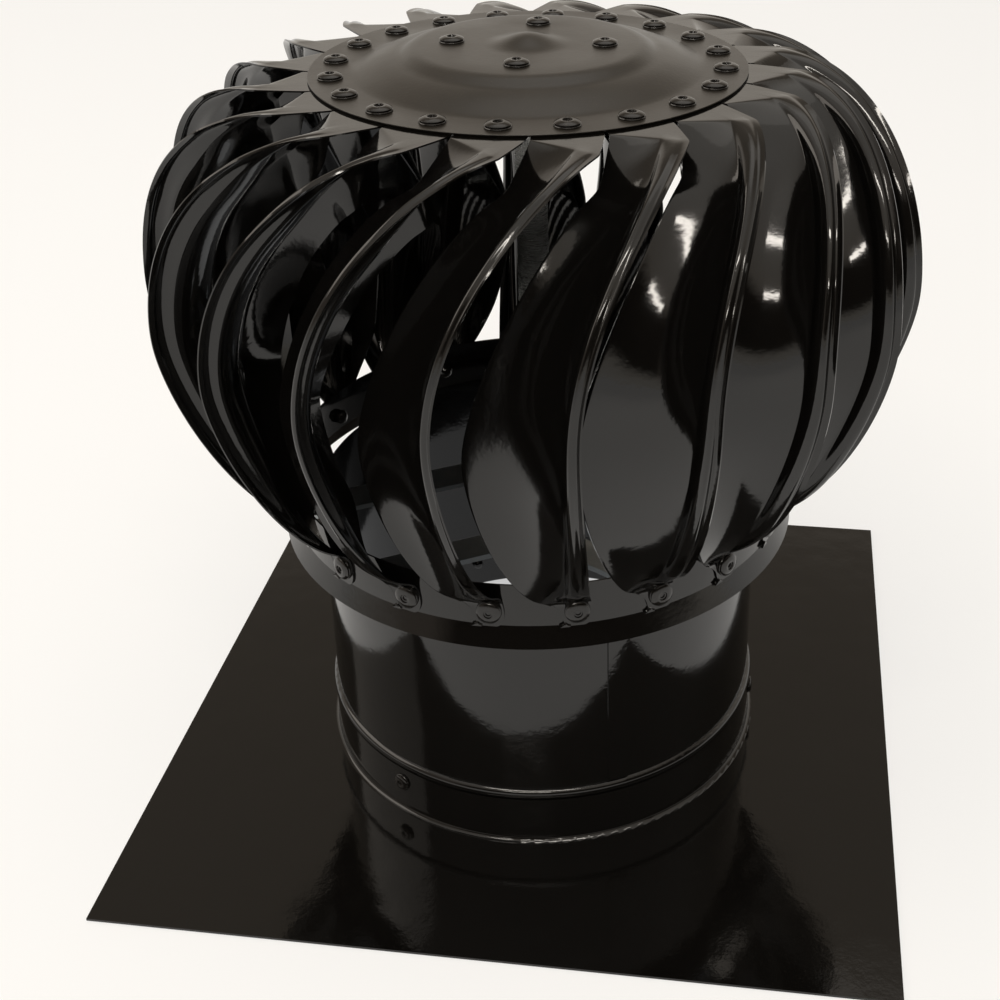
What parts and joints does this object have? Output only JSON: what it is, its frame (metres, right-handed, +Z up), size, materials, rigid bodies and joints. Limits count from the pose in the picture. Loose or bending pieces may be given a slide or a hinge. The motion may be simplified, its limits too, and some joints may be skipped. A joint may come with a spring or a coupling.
{
  "type": "roof turbine ventilator",
  "caption": "wind-driven roof vent: a barrel-shaped head of curved vanes under a riveted cap turns on ball bearings above a round duct neck on a square base plate",
  "frame": {"origin": "middle of the underside of the square base plate, where the axis of the neck and head meets the roof", "axes": "+Z up along the turning axis; +X and +Y square to the sides of the base plate"},
  "size_m": [0.25, 0.25, 0.25],
  "materials": {
    "black_enamel": "gloss black powder coat on thin sheet steel",
    "rivet_black": "gloss black lacquered blind rivets",
    "zinc_plate": "zinc-plated pressed steel",
    "shaft_steel": "turned bright steel",
    "bearing_steel": "ground bearing steel",
    "cage_brass": "pressed brass cage"
  },
  "bodies": {
    "stator": {"base_plate": "black_enamel", "neck_tube": "black_enamel", "collar_rivets": "rivet_black", "neck_spider": "zinc_plate", "spider_nuts": "zinc_plate", "spider_washers": "zinc_plate", "shaft": "shaft_steel", "shaft_circlip": "shaft_steel", "upper_bearing_inner_ring": "bearing_steel", "lower_bearing_inner_ring": "bearing_steel"},
    "rotor": {"top_cap": "black_enamel", "vane_01": "black_enamel", "vane_02": "black_enamel", "vane_03": "black_enamel", "vane_04": "black_enamel", "vane_05": "black_enamel", "vane_06": "black_enamel", "vane_07": "black_enamel", "vane_08": "black_enamel", "vane_09": "black_enamel", "vane_10": "black_enamel", "vane_11": "black_enamel", "vane_12": "black_enamel", "vane_13": "black_enamel", "vane_14": "black_enamel", "vane_15": "black_enamel", "vane_16": "black_enamel", "vane_17": "black_enamel", "vane_18": "black_enamel", "vane_19": "black_enamel", "vane_20": "black_enamel", "bottom_ring": "black_enamel", "cap_rivets": "rivet_black", "ring_rivets": "rivet_black", "hub_cup": "zinc_plate", "hub_rivets": "rivet_black", "lower_arms": "zinc_plate", "upper_bearing_outer_ring": "bearing_steel", "lower_bearing_outer_ring": "bearing_steel"},
    "upper_ball_set": {"upper_bearing_balls": "bearing_steel", "upper_bearing_cage": "cage_brass"},
    "lower_ball_set": {"lower_bearing_balls": "bearing_steel", "lower_bearing_cage": "cage_brass"}
  },
  "joints": [
    {"name": "rotor_spin", "type": "hinge", "parent": "stator", "child": "rotor", "pos_m": [0, 0, 0.24], "axis": [0, 0, 1], "continuous": true},
    {"name": "upper_balls_orbit", "type": "hinge", "parent": "stator", "child": "upper_ball_set", "pos_m": [0, 0, 0.24], "axis": [0, 0, 1], "continuous": true},
    {"name": "lower_balls_orbit", "type": "hinge", "parent": "stator", "child": "lower_ball_set", "pos_m": [0, 0, 0.1065], "axis": [0, 0, 1], "continuous": true}
  ],
  "couplings": [
    {"joint": "upper_balls_orbit", "follows": "rotor_spin", "ratio": 0.6323},
    {"joint": "lower_balls_orbit", "follows": "rotor_spin", "ratio": 0.6323}
  ]
}
